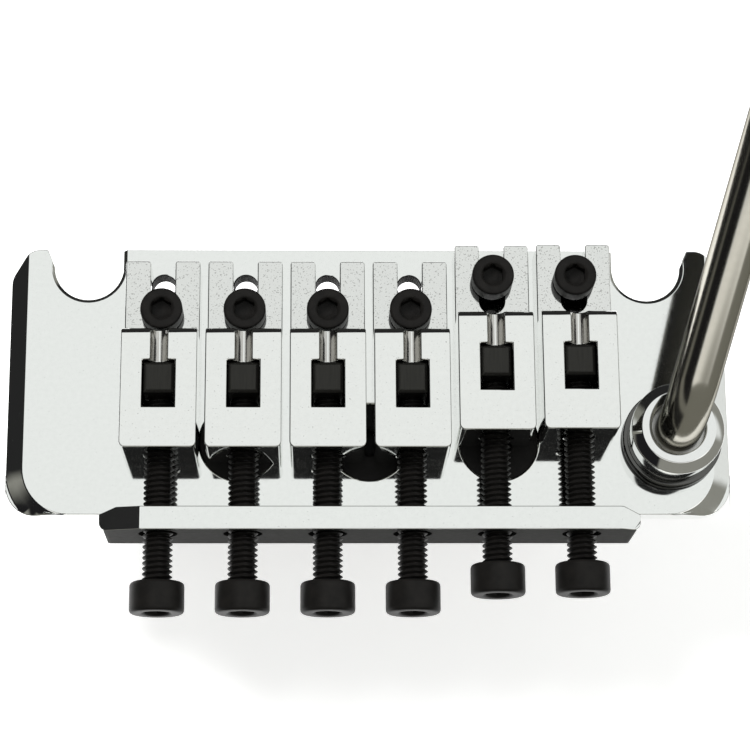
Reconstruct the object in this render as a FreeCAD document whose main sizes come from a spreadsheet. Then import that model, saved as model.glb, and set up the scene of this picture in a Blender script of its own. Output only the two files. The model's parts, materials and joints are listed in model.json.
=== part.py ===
import FreeCAD, Part
import Sketcher
import os
import re

# Guitar tremolo bridge with locking saddles, which rocks on two posts in the guitar's top.
# Frame: the origin lies midway between the two pivot notches, level with the top of the plate.
# +X points to the treble side, where the arm is, +Y to the neck and +Z away from the guitar.
# All sizes are in millimetres.

STRINGS = 6

# Every size that can be set by itself, once. A place behind the pivot axis is a positive number.
SIZES = {
    # base plate
    "plate_beside_arm": 7.8,
    "plate_thickness": 3.0,
    "plate_front": 2.3,
    "plate_rear": 33.7,
    "tip_cut_width": 2.6,
    "tip_cut_depth": 3.7,
    "tip_radius": 2.5,
    "rear_corner_radius": 4.2,
    "side_bevel_width": 2.3,
    "side_bevel_drop": 1.5,
    "side_bevel_radius": 6.3,
    # pivot notches, whose posts stand 74.3 apart
    "notch_inset": 10.35,
    "notch_radius": 4.5,
    "notch_flare": 1.0,
    "notch_rim": 0.5,
    "knife_edge_bevel": 1.6,
    # rear lip with the clearance holes of the lock screws
    "lip_beside_string": 7.4,
    "lip_front": 34.1,
    "lip_thickness": 3.0,
    "lip_height": 7.6,
    "lip_corner_run": 2.2,
    "lip_corner_depth": 0.9,
    "lip_rear_radius": 1.0,
    "bass_facet_run": 5.3,
    "treble_facet_run": 2.6,
    "facet_drop": 1.2,
    "lip_hole_gap": 0.5,
    # strings and saddles
    "string_pitch": 10.84,
    "screw_row_front": 2.8,
    "screw_row_rear": 7.5,
    "saddle_side_gap": 1.04,
    "saddle_length": 16.0,
    "crest_height": 9.0,
    "saddle_rear_height": 9.6,
    "crest_radius": 1.0,
    "saddle_corner_radius": 0.8,
    "prong_length": 10.7,
    "prong_height": 3.0,
    "slot_gap": 0.1,
    "slot_front_of_crest": 1.3,
    "pocket_behind_crest": 4.4,
    "pocket_length": 6.3,
    "pocket_width": 4.2,
    "pocket_floor": 1.0,
    "groove_width": 2.15,
    "groove_depth": 1.7,
    # distance from the pivot axis to each saddle's crest, set when the guitar is intonated
    "crest_1": 10.9,
    "crest_2": 10.9,
    "crest_3": 10.9,
    "crest_4": 10.9,
    "crest_5": 8.6,
    "crest_6": 8.45,
    # clamp blocks
    "clamp_gap": 0.1,
    "clamp_length": 4.1,
    "clamp_height": 7.4,
    "clamp_floor_gap": 0.1,
    "clamp_chamfer": 0.4,
    # lock screws
    "lock_diameter": 4.0,
    "lock_length": 23.9,
    "lock_head_diameter": 7.0,
    "lock_head_height": 4.0,
    "lock_hex": 3.0,
    "lock_hex_depth": 2.2,
    "lock_axis_height": 4.3,
    "thread_gap": 0.05,
    # hold-down screws
    "hold_diameter": 3.0,
    "hold_head_diameter": 5.5,
    "hold_head_height": 3.0,
    "hold_hex": 2.5,
    "hold_hex_depth": 1.6,
    "screw_edge": 0.3,
    # sustain block and its screws
    "block_beside_washer": 2.7,
    "block_depth": 11.0,
    "block_height": 32.0,
    "block_behind_pivot": 24.0,
    "block_chamfer": 0.8,
    "block_screw_pitch": 17.0,
    "block_screw_diameter": 5.0,
    "block_screw_head": 10.2,
    "block_screw_sunk": 0.15,
    "block_screw_length": 16.0,
    "block_screw_hex": 3.0,
    "block_screw_hex_depth": 2.2,
    "fixed_gap": 0.05,
    "spring_hole_diameter": 2.6,
    "spring_hole_depth": 10.0,
    "spring_hole_pitch": 11.0,
    # arm and the fittings that carry it
    "arm_beside_saddle": 1.2,
    "arm_behind_pivot": 23.75,
    "arm_diameter": 6.0,
    "arm_running_gap": 0.03,
    "arm_below_plate": 10.2,
    "arm_riser": 8.0,
    "arm_bend_radius": 7.5,
    "arm_slope_angle": 22.0,
    "arm_run": 52.0,
    "arm_knee_radius": 60.0,
    "arm_knee_angle": 24.0,
    "arm_handle": 60.0,
    "arm_heading": 15.9,
    "arm_end_radius": 2.6,
    "ring_groove_depth": 0.4,
    "ring_thickness": 0.8,
    "ring_width": 0.9,
    "ring_gap": 0.1,
    "bush_wall": 1.0,
    "bush_length": 5.5,
    "socket_wall": 1.0,
    "socket_above_plate": 5.6,
    "socket_below_plate": 8.5,
    "socket_shoulder": 1.0,
    "socket_flange_radius": 6.5,
    "socket_flange_height": 1.6,
    "washer_radius": 7.0,
    "washer_thickness": 0.8,
    "nut_across_flats": 13.0,
    "nut_thickness": 3.5,
    "collar_radius": 6.0,
    "collar_top": 7.5,
    "collar_roof": 0.8,
    "collar_bore_gap": 0.5,
    "collar_seat_gap": 0.2,
    "collar_chamfer_width": 1.25,
    "collar_chamfer_height": 0.9,
}

doc = FreeCAD.newDocument("tremolo_bridge")
sheet = doc.addObject("Spreadsheet::Sheet", "sizes")
for row, (alias, given) in enumerate(SIZES.items(), 1):
    sheet.set(f"A{row}", alias)
    sheet.set(f"B{row}", str(given))
    sheet.setAlias(f"B{row}", alias)
doc.recompute()


def link(words):
    """The expression with each size's name pointing at its cell in the sheet."""
    return re.sub(r"[a-z]\w+", lambda word: f"sizes.{word[0]}" if word[0] in SIZES else word[0], words)


def size(words):
    """The value of an expression on the sizes."""
    return float(sheet.evalExpression(link(words)))


class Drawing:
    """A sketch on one of a body's own planes. Expressions place each point from the origin."""

    def __init__(self, body, role, lift="0"):
        self.sketch = body.newObject("Sketcher::SketchObject", "Sketch")
        plane = [item for item in body.Origin.OriginFeatures if item.Role == role][0]
        self.sketch.AttachmentSupport = [(plane, "")]
        self.sketch.MapMode = "FlatFace"
        self.sketch.setExpression("AttachmentOffset.Base.z", link(lift))

    def measure(self, kind, where, words, unit=""):
        """Add one dimension, bound to the sheet."""
        start = FreeCAD.Units.Quantity(f"{size(words)} {unit}") if unit else size(words)
        index = self.sketch.addConstraint(Sketcher.Constraint(kind, *where, start))
        self.sketch.setExpression(f"Constraints[{index}]", link(f"({words}) * 1 {unit}" if unit else words))

    def place(self, edge, point, x, y):
        """Place one end or the centre of an edge."""
        self.measure("DistanceX", (-1, 1, edge, point), x)
        self.measure("DistanceY", (-1, 1, edge, point), y)

    def outline(self, *corners):
        """A closed outline of straight edges."""
        first = self.sketch.GeometryCount
        spots = [FreeCAD.Vector(size(x), size(y), 0) for x, y in corners]
        for spot, following in zip(spots, spots[1:] + spots[:1]):
            self.sketch.addGeometry(Part.LineSegment(spot, following), False)
        for step, (x, y) in enumerate(corners):
            before = first + (step - 1) % len(corners)
            self.sketch.addConstraint(Sketcher.Constraint("Coincident", before, 2, first + step, 1))
            self.place(first + step, 1, x, y)
        return self

    def circle(self, x, y, radius):
        """A full circle."""
        ring = Part.Circle(FreeCAD.Vector(size(x), size(y), 0), FreeCAD.Vector(0, 0, 1), size(radius))
        edge = self.sketch.addGeometry(ring, False)
        self.place(edge, 3, x, y)
        self.measure("Radius", (edge,), radius)
        return self

    def hexagon(self, across_flats):
        """A hexagon about the origin, for a key or a spanner."""
        half = f"({across_flats}) / 2"
        corner = f"({across_flats}) / 3 ^ 0.5"
        return self.outline(
            (corner, "0"), (f"{corner} / 2", half), (f"-({corner}) / 2", half),
            (f"-({corner})", "0"), (f"-({corner}) / 2", f"-({half})"), (f"{corner} / 2", f"-({half})"),
        )


def new_body(label, x="0", y="0", z="0", turn=None):
    """An empty body with its label and its place in the bridge."""
    body = doc.addObject("PartDesign::Body", label)
    body.Label = label
    if turn:
        body.Placement = FreeCAD.Placement(FreeCAD.Vector(), turn)
    for axis, words in zip("xyz", (x, y, z)):
        body.setExpression(f"Placement.Base.{axis}", link(words))
    return body


def add(body, kind, profile=None, bind=None, **settings):
    """Add one feature to a body, with the properties in bind tied to the sheet."""
    made = body.newObject(f"PartDesign::{kind}", kind)
    if profile:
        made.Profile = profile.sketch
    for name, setting in settings.items():
        setattr(made, name, setting)
    for name, words in (bind or {}).items():
        made.setExpression(name, link(words))
    doc.recompute()
    return made


def cut(body, profile, bind=None, kind="Pocket", **settings):
    """Cut a profile out of a body, and make sure that the cut met the solid."""
    before = body.Shape.Volume
    add(body, kind, profile, bind, **settings)
    if body.Shape.Volume > before - 0.001:
        raise ValueError(f"a {kind} of {body.Label} cuts nothing")


def turned(body, *corners):
    """Turn a half profile, given as radius and height, about the body's upright axis."""
    half = Drawing(body, "XZ_Plane").outline(*corners)
    return add(body, "Revolution", half, ReferenceAxis=(half.sketch, ["V_Axis"]))


def edges(body, **where):
    """Names of the edges that lie wholly at the given places, at either side for x."""
    names = []
    for number, edge in enumerate(body.Tip.Shape.Edges, 1):
        box = edge.BoundBox
        side = -1 if box.XMax < 0 else 1
        ends = {"x": (side * box.XMin, side * box.XMax), "y": (box.YMin, box.YMax), "z": (box.ZMin, box.ZMax)}
        if all(abs(end - size(words)) < 0.001 for axis, words in where.items() for end in ends[axis]):
            names.append(f"Edge{number}")
    return names


def dress(body, kind, bind, *places, **settings):
    """Fillet or chamfer the edges that lie at the places."""
    names = sorted({name for place in places for name in edges(body, **place)})
    if not names:
        raise ValueError(f"no edge of {body.Label} for its {kind}")
    add(body, kind, None, bind, Base=(body.Tip, names), **settings)


# Places that several pieces share, worked out from the sizes.
STRING_X = [f"string_pitch * ({number} - {(STRINGS + 1) / 2})" for number in range(1, STRINGS + 1)]
SADDLE_Y = [f"-crest_{number}" for number in range(1, STRINGS + 1)]
SCREW_ROWS = ["screw_row_rear"] * 4 + ["screw_row_front"] * 2
BLOCK_SCREW_X = ["-block_screw_pitch", "0", "block_screw_pitch"]
SADDLE_WIDTH = "(string_pitch - saddle_side_gap)"
ARM_X = f"({STRING_X[-1]} + {SADDLE_WIDTH} / 2 + arm_beside_saddle + socket_flange_radius)"
PLATE_SIDE = f"({ARM_X} + plate_beside_arm)"
NOTCH_X = f"({PLATE_SIDE} - notch_inset)"
LIP_SIDE = f"({STRING_X[-1]} + lip_beside_string)"
BLOCK_SIDE = f"({ARM_X} - washer_radius - block_beside_washer)"
LIP_REAR = "lip_front + lip_thickness"
BUSH_RADIUS = "(arm_diameter / 2 + arm_running_gap + bush_wall)"
SOCKET_RADIUS = f"({BUSH_RADIUS} + socket_wall)"
SOCKET_BOTTOM = "(plate_thickness + socket_below_plate)"
RING_BOTTOM = "socket_above_plate + ring_gap"


def base_plate():
    """Hardened plate with two knife-edged pivot notches and an upright lip along its rear edge."""
    body = new_body("base_plate")
    plan = Drawing(body, "XY_Plane")
    treble_side = [
        (f"{PLATE_SIDE} - tip_cut_width", "plate_front"),
        (PLATE_SIDE, "plate_front - tip_cut_depth"),
        (PLATE_SIDE, "-plate_rear"),
        (LIP_SIDE, "-plate_rear"),
        (LIP_SIDE, f"-({LIP_REAR})"),
    ]
    bass_side = [(f"-({x})", y) for x, y in reversed(treble_side)]
    plan.outline(*treble_side, *bass_side)
    add(body, "Pad", plan, {"Length": "plate_thickness"}, Reversed=True)
    dress(body, "Fillet", {"Radius": "tip_radius"},
          {"x": f"{PLATE_SIDE} - tip_cut_width", "y": "plate_front"},
          {"x": PLATE_SIDE, "y": "plate_front - tip_cut_depth"})
    dress(body, "Fillet", {"Radius": "rear_corner_radius"}, {"x": PLATE_SIDE, "y": "-plate_rear"})
    side_bevels(body)
    pivot_notches(body)

    lip = Drawing(body, "XY_Plane")
    lip.outline(
        (f"{LIP_SIDE} - lip_corner_run", "-lip_front"), (f"lip_corner_run - {LIP_SIDE}", "-lip_front"),
        (f"-{LIP_SIDE}", "-lip_front - lip_corner_depth"), (f"-{LIP_SIDE}", f"-({LIP_REAR})"),
        (LIP_SIDE, f"-({LIP_REAR})"), (LIP_SIDE, "-lip_front - lip_corner_depth"),
    )
    add(body, "Pad", lip, {"Length": "lip_height"})
    facets = Drawing(body, "XZ_Plane")
    for side, run in ((-1, "bass_facet_run"), (1, "treble_facet_run")):
        facets.outline((f"{side} * ({LIP_SIDE} - {run})", "lip_height"),
                       (f"{side} * ({LIP_SIDE} - {run})", "lip_height + facet_drop"),
                       (f"{side} * ({LIP_SIDE} + {run})", "lip_height + facet_drop"),
                       (f"{side} * ({LIP_SIDE} + {run})", "lip_height - 2 * facet_drop"))
    cut(body, facets, Type="ThroughAll", Midplane=True)
    dress(body, "Fillet", {"Radius": "lip_rear_radius"},
          {"x": LIP_SIDE, "y": f"-({LIP_REAR})"}, {"y": f"-({LIP_REAR})", "z": "-plate_thickness"})

    lock_holes = Drawing(body, "XZ_Plane")
    for x in STRING_X:
        lock_holes.circle(x, "lock_axis_height", "lock_diameter / 2 + lip_hole_gap")
    cut(body, lock_holes, Type="ThroughAll", Midplane=True)
    screw_holes = Drawing(body, "XY_Plane")
    for x in STRING_X:
        for screw_row in ("screw_row_front", "screw_row_rear"):
            screw_holes.circle(x, f"-{screw_row}", "hold_diameter / 2 + thread_gap")
    screw_holes.circle(ARM_X, "-arm_behind_pivot", f"{SOCKET_RADIUS} + fixed_gap")
    cut(body, screw_holes, Type="ThroughAll")

    seats = Drawing(body, "XY_Plane")
    for x in BLOCK_SCREW_X:
        seats.circle(x, "-block_behind_pivot", "block_screw_diameter / 2 + fixed_gap")
    cut(body, seats, kind="Hole", DepthType="ThroughAll", HoleCutType="Countersink", HoleCutCustomValues=True,
        HoleCutCountersinkAngle=90, bind={
            "Diameter": "block_screw_diameter + 2 * fixed_gap",
            "HoleCutDiameter": "block_screw_head + 2 * fixed_gap + 2 * block_screw_sunk",
        })
    return body


def side_bevels(body):
    """A long bevel down each side, which runs out round the rear corner."""
    inner = f"{PLATE_SIDE} - side_bevel_width"
    beyond = f"{PLATE_SIDE} + 2 * side_bevel_width"
    middle_x = f"{inner} - side_bevel_radius"
    middle_y = "-plate_rear + side_bevel_radius"
    for side in (-1, 1):
        band = Drawing(body, "XY_Plane")
        sketch = band.sketch
        corners = [(f"{side} * ({inner})", middle_y),
                   (f"{side} * ({inner})", "plate_front + 2 * side_bevel_width"),
                   (f"{side} * ({beyond})", "plate_front + 2 * side_bevel_width"),
                   (f"{side} * ({beyond})", "-plate_rear - 2 * side_bevel_width"),
                   (f"{side} * ({middle_x})", "-plate_rear - 2 * side_bevel_width"),
                   (f"{side} * ({middle_x})", "-plate_rear")]
        spots = [FreeCAD.Vector(size(x), size(y), 0) for x, y in corners]
        for start, end in zip(spots, spots[1:]):
            sketch.addGeometry(Part.LineSegment(start, end), False)
        centre = FreeCAD.Vector(spots[5].x, spots[0].y, 0)
        middle = centre + FreeCAD.Vector(side * 2 ** -0.5, -(2 ** -0.5), 0) * size("side_bevel_radius")
        arc = sketch.addGeometry(Part.Arc(spots[5], middle, spots[0]), False)
        low, high = (1, 2) if side > 0 else (2, 1)
        for line in range(4):
            sketch.addConstraint(Sketcher.Constraint("Coincident", line, 2, line + 1, 1))
        sketch.addConstraint(Sketcher.Constraint("Coincident", 4, 2, arc, low))
        sketch.addConstraint(Sketcher.Constraint("Coincident", 0, 1, arc, high))
        for line, (x, y) in enumerate(corners[:5]):
            band.place(line, 1, x, y)
        band.place(4, 2, *corners[5])
        band.measure("Radius", (arc,), "side_bevel_radius")
        slant = "-atan(side_bevel_width / side_bevel_drop)"
        cut(body, band, {"Length": "side_bevel_drop", "TaperAngle": slant})


def pivot_notches(body):
    """Half-round notches, open to the front, whose undersides are bevelled to knife edges."""
    posts = Drawing(body, "XY_Plane")
    mouths = Drawing(body, "XY_Plane")
    for side in (-1, 1):
        middle = f"{side} * {NOTCH_X}"
        posts.circle(middle, "0", "notch_radius")
        mouths.outline(
            (f"{middle} - {side} * notch_radius", "0"), (f"{middle} + {side} * notch_radius", "0"),
            (f"{middle} + {side} * (notch_radius + 2 * notch_flare)", "2 * plate_front"),
            (f"{middle} - {side} * notch_radius", "2 * plate_front"),
        )
    cut(body, posts, Type="ThroughAll")
    cut(body, mouths, Type="ThroughAll")
    for height, bevel in (("0", "notch_rim"), ("-plate_thickness", "knife_edge_bevel")):
        rims = []
        for name in edges(body, z=height):
            edge = body.Tip.Shape.getElement(name)
            if hasattr(edge.Curve, "Radius") and abs(edge.Curve.Radius - size("notch_radius")) < 0.001:
                rims.append(name)
        add(body, "Chamfer", None, {"Size": bevel}, Base=(body.Tip, rims))


def saddle(number):
    """One string's saddle: two prongs under its hold-down screw, a crest and a clamp pocket."""
    body = new_body(f"saddle_{number}", STRING_X[number - 1], SADDLE_Y[number - 1])
    side_view = Drawing(body, "YZ_Plane")
    side_view.outline(
        ("-saddle_length", "0"), ("prong_length", "0"), ("prong_length", "prong_height"),
        ("0", "prong_height"), ("0", "crest_height"), ("-saddle_length", "saddle_rear_height"),
    )
    add(body, "Pad", side_view, {"Length": SADDLE_WIDTH}, Midplane=True)
    dress(body, "Fillet", {"Radius": "crest_radius"}, {"y": "0", "z": "crest_height"})
    dress(body, "Fillet", {"Radius": "saddle_corner_radius"},
          {"x": f"{SADDLE_WIDTH} / 2", "y": "-saddle_length"})

    slot = Drawing(body, "XY_Plane")
    half_slot = "(hold_diameter / 2 + slot_gap)"
    slot_end = f"slot_front_of_crest + {half_slot}"
    slot.outline((f"-{half_slot}", slot_end), (half_slot, slot_end),
                 (half_slot, "2 * prong_length"), (f"-{half_slot}", "2 * prong_length"))
    cut(body, slot, {"Length": "prong_height"}, Reversed=True)
    slot_round = Drawing(body, "XY_Plane").circle("0", slot_end, half_slot)
    cut(body, slot_round, {"Length": "prong_height"}, Reversed=True)

    pocket = Drawing(body, "XY_Plane", "pocket_floor")
    pocket_front = "-pocket_behind_crest"
    pocket_rear = "-(pocket_behind_crest + pocket_length)"
    pocket.outline(("-pocket_width / 2", pocket_rear), ("pocket_width / 2", pocket_rear),
                   ("pocket_width / 2", pocket_front), ("-pocket_width / 2", pocket_front))
    cut(body, pocket, Type="ThroughAll", Reversed=True)

    groove_axis = "(crest_height - groove_depth + groove_width / 2)"
    groove = Drawing(body, "XZ_Plane").circle("0", groove_axis, "groove_width / 2")
    cut(body, groove, {"Length": "pocket_behind_crest + clamp_gap"}, Reversed=True)
    above = Drawing(body, "XZ_Plane")
    above.outline(("-groove_width / 2", groove_axis), ("groove_width / 2", groove_axis),
                  ("groove_width / 2", "2 * crest_height"), ("-groove_width / 2", "2 * crest_height"))
    cut(body, above, {"Length": "pocket_behind_crest + clamp_gap"}, Reversed=True)

    rear_hole = Drawing(body, "XZ_Plane", "saddle_length")
    rear_hole.circle("0", "lock_axis_height", "lock_diameter / 2 + thread_gap")
    cut(body, rear_hole, {"Length": "saddle_length - pocket_behind_crest - pocket_length + clamp_gap"})
    return body


def clamp_block(number):
    """The loose block that the lock screw presses against the string."""
    front = f"{SADDLE_Y[number - 1]} - pocket_behind_crest - clamp_gap"
    body = new_body(f"clamp_block_{number}", STRING_X[number - 1], front, "pocket_floor + clamp_floor_gap")
    foot = Drawing(body, "XY_Plane")
    half = "(pocket_width / 2 - clamp_gap)"
    foot.outline((f"-{half}", "-clamp_length"), (half, "-clamp_length"), (half, "0"), (f"-{half}", "0"))
    add(body, "Pad", foot, {"Length": "clamp_height"})
    dress(body, "Chamfer", {"Size": "clamp_chamfer"}, {"z": "clamp_height"})
    return body


def cap_screw(body, diameter, length, head_diameter, head_height, hexagon, hexagon_depth):
    """A socket cap screw, upright, with the underside of its head at the body's origin."""
    turned(body,
           ("0", f"-({length})"), (f"{diameter} / 2 - screw_edge", f"-({length})"),
           (f"{diameter} / 2", f"-({length}) + screw_edge"), (f"{diameter} / 2", "0"),
           (f"{head_diameter} / 2", "0"), (f"{head_diameter} / 2", f"{head_height} - screw_edge"),
           (f"{head_diameter} / 2 - screw_edge", head_height), ("0", head_height))
    cut(body, Drawing(body, "XY_Plane", head_height).hexagon(hexagon), {"Length": hexagon_depth})
    return body


def lock_screw(number):
    """The long screw that reaches through the lip and the saddle's rear wall to the clamp block."""
    head = f"{SADDLE_Y[number - 1]} - pocket_behind_crest - clamp_gap - clamp_length - lock_length"
    to_the_rear = FreeCAD.Rotation(FreeCAD.Vector(1, 0, 0), 90)
    body = new_body(f"lock_screw_{number}", STRING_X[number - 1], head, "lock_axis_height", to_the_rear)
    return cap_screw(body, "lock_diameter", "lock_length", "lock_head_diameter", "lock_head_height",
                     "lock_hex", "lock_hex_depth")


def hold_down_screw(number):
    """The short screw that holds a saddle's prongs down on the plate."""
    row = f"-{SCREW_ROWS[number - 1]}"
    body = new_body(f"hold_down_screw_{number}", STRING_X[number - 1], row, "prong_height")
    return cap_screw(body, "hold_diameter", "prong_height + plate_thickness", "hold_head_diameter",
                     "hold_head_height", "hold_hex", "hold_hex_depth")


def sustain_block():
    """The heavy block under the plate, drilled from below for the ends of five springs."""
    body = new_body("sustain_block", "0", "-block_behind_pivot", "-plate_thickness")
    plan = Drawing(body, "XY_Plane")
    plan.outline((f"-{BLOCK_SIDE}", "-block_depth / 2"), (BLOCK_SIDE, "-block_depth / 2"),
                 (BLOCK_SIDE, "block_depth / 2"), (f"-{BLOCK_SIDE}", "block_depth / 2"))
    add(body, "Pad", plan, {"Length": "block_height"}, Reversed=True)
    dress(body, "Chamfer", {"Size": "block_chamfer"}, {"z": "-block_height"},
          {"x": BLOCK_SIDE, "y": "block_depth / 2"}, {"x": BLOCK_SIDE, "y": "-block_depth / 2"})
    screw_holes = Drawing(body, "XY_Plane")
    for x in BLOCK_SCREW_X:
        screw_holes.circle(x, "0", "block_screw_diameter / 2 + fixed_gap")
    cut(body, screw_holes, {"Length": "block_screw_length"})
    spring_holes = Drawing(body, "XY_Plane", "-block_height")
    for number in range(-2, 3):
        spring_holes.circle(f"{number} * spring_hole_pitch", "0", "spring_hole_diameter / 2")
    cut(body, spring_holes, {"Length": "spring_hole_depth"}, Reversed=True)
    return body


def block_screws():
    """Three countersunk screws that pull the sustain block up against the plate."""
    screws = []
    for number, x in enumerate(BLOCK_SCREW_X, 1):
        body = new_body(f"block_screw_{number}", x, "-block_behind_pivot", "-block_screw_sunk")
        straight = "(block_screw_head / 2 - block_screw_diameter / 2)"
        turned(body,
               ("0", "-block_screw_length"), ("block_screw_diameter / 2 - screw_edge", "-block_screw_length"),
               ("block_screw_diameter / 2", "-block_screw_length + screw_edge"),
               ("block_screw_diameter / 2", f"-{straight}"), ("block_screw_head / 2", "0"), ("0", "0"))
        cut(body, Drawing(body, "XY_Plane").hexagon("block_screw_hex"), {"Length": "block_screw_hex_depth"})
        screws.append(body)
    group = doc.addObject("Part::Compound", "block_screws")
    group.Label = "block_screws"
    group.Links = screws
    return group


def arm_body(label):
    """A body whose upright axis is the arm's own axis, from the top of the plate."""
    return new_body(label, ARM_X, "-arm_behind_pivot")


def arm_socket():
    """Flanged sleeve through the plate, threaded outside above and below it."""
    body = arm_body("arm_socket")
    lead_hole = "arm_diameter / 2 + collar_bore_gap"
    turned(body,
           (lead_hole, f"-{SOCKET_BOTTOM}"), (SOCKET_RADIUS, f"-{SOCKET_BOTTOM}"), (SOCKET_RADIUS, "0"),
           ("socket_flange_radius", "0"), ("socket_flange_radius", "socket_flange_height"),
           (SOCKET_RADIUS, "socket_flange_height"), (SOCKET_RADIUS, "socket_above_plate"),
           (BUSH_RADIUS, "socket_above_plate"), (BUSH_RADIUS, f"-{SOCKET_BOTTOM} + socket_shoulder"),
           (lead_hole, f"-{SOCKET_BOTTOM} + socket_shoulder"))
    return body


def ring_piece(label, inner, outer, low, high):
    """A plain ring round the arm's axis."""
    body = arm_body(label)
    turned(body, (inner, low), (outer, low), (outer, high), (inner, high))
    return body


def arm_bushes():
    """Two plastic bushes in the socket, one at each end, in which the arm turns."""
    inner = "arm_diameter / 2 + arm_running_gap"
    floor = f"-{SOCKET_BOTTOM} + socket_shoulder"
    top = "socket_above_plate"
    return [
        ring_piece("arm_bush_lower", inner, BUSH_RADIUS, floor, f"{floor} + bush_length"),
        ring_piece("arm_bush_upper", inner, BUSH_RADIUS, f"{top} - bush_length", top),
    ]


def socket_washer():
    """Washer between the plate and the socket's nut."""
    return ring_piece("socket_washer", f"{SOCKET_RADIUS} + fixed_gap", "washer_radius",
                      "-plate_thickness - washer_thickness", "-plate_thickness")


def socket_nut():
    """Hexagon nut that holds the socket in the plate from below."""
    body = arm_body("socket_nut")
    across = Drawing(body, "XY_Plane", "-plate_thickness - washer_thickness").hexagon("nut_across_flats")
    add(body, "Pad", across, {"Length": "nut_thickness"}, Reversed=True)
    bore = Drawing(body, "XY_Plane").circle("0", "0", f"{SOCKET_RADIUS} + fixed_gap")
    cut(body, bore, Type="ThroughAll")
    return body


def collar_nut():
    """Cap nut, screwed on the socket, that keeps the arm's ring in and sets its friction."""
    body = arm_body("collar_nut")
    foot = "socket_flange_height + collar_seat_gap"
    inner = f"{SOCKET_RADIUS} + thread_gap"
    mouth = "arm_diameter / 2 + collar_bore_gap"
    turned(body,
           (inner, foot), ("collar_radius", foot), ("collar_radius", "collar_top - collar_chamfer_height"),
           ("collar_radius - collar_chamfer_width", "collar_top"), (mouth, "collar_top"),
           (mouth, "collar_top - collar_roof"), (inner, "collar_top - collar_roof"))
    return body


def arm():
    """Round steel arm: it stands in the bushes, bends over the bridge and slopes gently down again."""
    heading = FreeCAD.Rotation(FreeCAD.Vector(0, 0, 1), 90 - size("arm_heading"))
    body = new_body("arm", ARM_X, "-arm_behind_pivot", turn=heading)
    radius = size("arm_bend_radius")
    knee = size("arm_knee_radius")
    slope = size("arm_slope_angle")
    fall = slope - size("arm_knee_angle")

    def along(angle, distance):
        return FreeCAD.Rotation(FreeCAD.Vector(0, 0, 1), angle).multVec(FreeCAD.Vector(distance, 0, 0))

    start = FreeCAD.Vector(0, -size("arm_below_plate"), 0)
    riser_top = FreeCAD.Vector(0, size("arm_riser"), 0)
    bend_centre = riser_top + FreeCAD.Vector(radius, 0, 0)
    bend_end = bend_centre + along(90 + slope, radius)
    run_end = bend_end + along(slope, size("arm_run"))
    knee_centre = run_end + along(slope - 90, knee)
    knee_end = knee_centre + along(90 + fall, knee)
    tip = knee_end + along(fall, size("arm_handle"))
    path = Drawing(body, "XZ_Plane")
    sketch = path.sketch
    upright = FreeCAD.Vector(0, 0, 1)
    radians = FreeCAD.Units.Quantity("1 deg").getValueAs("rad").Value
    riser = sketch.addGeometry(Part.LineSegment(start, riser_top), False)
    bend = sketch.addGeometry(Part.ArcOfCircle(Part.Circle(bend_centre, upright, radius),
                                               (90 + slope) * radians, 180 * radians), False)
    run = sketch.addGeometry(Part.LineSegment(bend_end, run_end), False)
    knee_arc = sketch.addGeometry(Part.ArcOfCircle(Part.Circle(knee_centre, upright, knee),
                                                   (90 + fall) * radians, (90 + slope) * radians), False)
    handle = sketch.addGeometry(Part.LineSegment(knee_end, tip), False)
    path.place(riser, 1, "0", "-arm_below_plate")
    path.place(riser, 2, "0", "arm_riser")
    for line, line_end, arc, arc_end in ((riser, 2, bend, 2), (run, 1, bend, 1),
                                         (run, 2, knee_arc, 2), (handle, 1, knee_arc, 1)):
        sketch.addConstraint(Sketcher.Constraint("Tangent", line, line_end, arc, arc_end))
    path.measure("Radius", (bend,), "arm_bend_radius")
    path.measure("Angle", (run,), "arm_slope_angle", "deg")
    path.measure("Distance", (run,), "arm_run")
    path.measure("Radius", (knee_arc,), "arm_knee_radius")
    path.measure("Angle", (handle,), "arm_slope_angle - arm_knee_angle", "deg")
    path.measure("Distance", (handle,), "arm_handle")
    section = Drawing(body, "XY_Plane", "-arm_below_plate").circle("0", "0", "arm_diameter / 2")
    add(body, "AdditivePipe", section, Spine=(sketch, []))
    end_edge = max(enumerate(body.Tip.Shape.Edges, 1), key=lambda pair: pair[1].CenterOfMass.x)[0]
    add(body, "Fillet", None, {"Radius": "arm_end_radius"}, Base=(body.Tip, [f"Edge{end_edge}"]))
    groove = Drawing(body, "XZ_Plane")
    groove.outline(
        ("arm_diameter / 2 - ring_groove_depth", RING_BOTTOM), ("arm_diameter", RING_BOTTOM),
        ("arm_diameter", f"{RING_BOTTOM} + ring_thickness"),
        ("arm_diameter / 2 - ring_groove_depth", f"{RING_BOTTOM} + ring_thickness"))
    cut(body, groove, kind="Groove", ReferenceAxis=(groove.sketch, ["V_Axis"]))
    return body


def arm_ring():
    """Snap ring in the arm's groove, trapped between the socket and the roof of the collar nut."""
    inner = "arm_diameter / 2 - ring_groove_depth"
    return ring_piece("arm_ring", inner, f"{inner} + ring_groove_depth + ring_width", RING_BOTTOM,
                      f"{RING_BOTTOM} + ring_thickness")


pieces = [base_plate(), sustain_block(), block_screws(), arm_socket(), *arm_bushes(), socket_washer(),
          socket_nut(), collar_nut(), arm(), arm_ring()]
for string in range(1, STRINGS + 1):
    pieces += [saddle(string), clamp_block(string), lock_screw(string), hold_down_screw(string)]

doc.recompute()
for item in doc.Objects:
    if {"Invalid", "Error"} & set(item.State):
        raise ValueError(f"{item.Label} did not compute: {item.State}")
for piece in pieces:
    if piece.Shape.isNull() or not piece.Shape.isValid():
        raise ValueError(f"{piece.Label} has no valid shape")

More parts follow.
